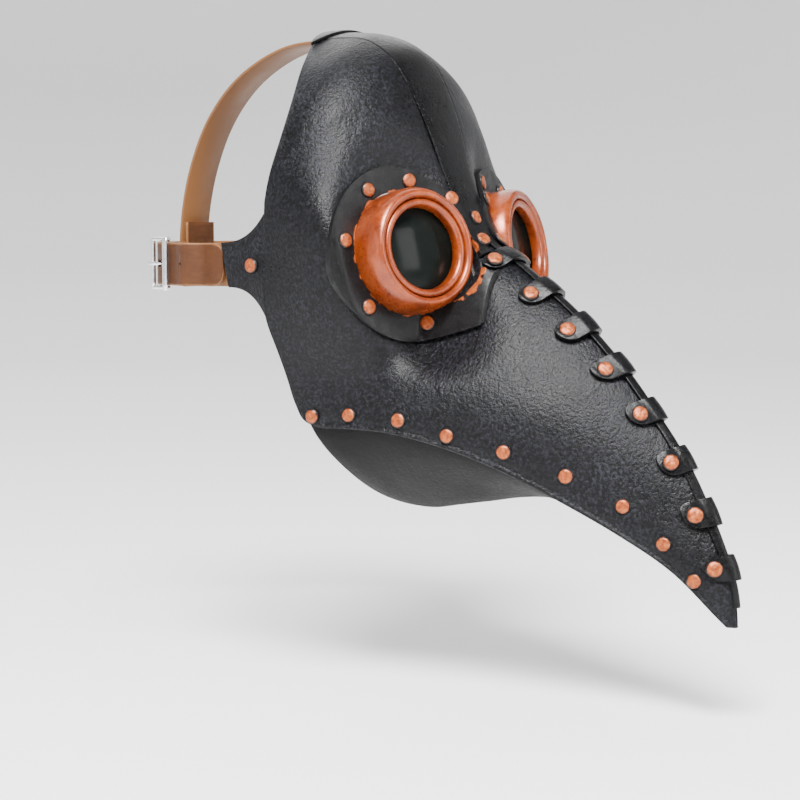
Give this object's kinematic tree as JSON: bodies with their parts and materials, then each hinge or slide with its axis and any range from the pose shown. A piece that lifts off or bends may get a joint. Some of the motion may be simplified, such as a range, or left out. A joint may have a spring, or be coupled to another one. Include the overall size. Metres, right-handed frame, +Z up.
{
  "type": "plague doctor mask",
  "caption": "Black riveted leather plague doctor mask with a long hooked beak, copper goggles and a brown buckled head harness.",
  "frame": {"origin": "middle of the wearer's head, midway between the two rivets that hold the side straps, at strap level", "axes": "+Z up, the mask faces -Y, +X is the wearer's left"},
  "size_m": [0.1701, 0.3516, 0.291],
  "materials": {
    "panel_leather": "grained, soft sheen",
    "trim_leather": "smooth, soft sheen",
    "strap_leather": "satin",
    "copper_ring": "worn, glossy",
    "copper_rivet": "hammered",
    "dark_lens": "clear, dark tint",
    "polished_steel": "polished"
  },
  "bodies": {
    "mask": {"forehead_panel": "trim_leather", "side_panel_left": "panel_leather", "side_panel_right": "panel_leather", "under_panel": "panel_leather", "crown_hem": "trim_leather", "beak_spine": "trim_leather", "ridge_tab_1": "trim_leather", "ridge_tab_2": "trim_leather", "ridge_tab_3": "trim_leather", "ridge_tab_4": "trim_leather", "ridge_tab_5": "trim_leather", "ridge_tab_6": "trim_leather", "ridge_tab_7": "trim_leather", "ridge_tab_8": "trim_leather", "goggle_flange_left": "trim_leather", "goggle_barrel_left": "copper_ring", "goggle_bezel_left": "copper_ring", "lens_left": "dark_lens", "flange_rivets_left": "copper_rivet", "seam_rivets_left": "copper_rivet", "tab_rivets_left": "copper_rivet", "goggle_flange_right": "trim_leather", "goggle_barrel_right": "copper_ring", "goggle_bezel_right": "copper_ring", "lens_right": "dark_lens", "flange_rivets_right": "copper_rivet", "seam_rivets_right": "copper_rivet", "tab_rivets_right": "copper_rivet", "tongue_rivet": "copper_rivet", "side_strap_right": "strap_leather", "side_strap_left": "strap_leather", "top_strap": "strap_leather", "strap_rivets": "copper_rivet"},
    "frame": {"buckle_frame": "polished_steel"},
    "prong": {"buckle_prong": "polished_steel"}
  },
  "joints": [
    {"name": "buckle_tilt", "type": "hinge", "parent": "mask", "child": "frame", "pos_m": [-0.07128, 0.04122, 0.002], "axis": [0, 0, 1], "range_deg": [-3, 3]},
    {"name": "prong_swing", "type": "hinge", "parent": "frame", "child": "prong", "pos_m": [-0.07128, 0.04122, 0.002], "axis": [0, 0, 1], "range_deg": [0, 55]}
  ]
}
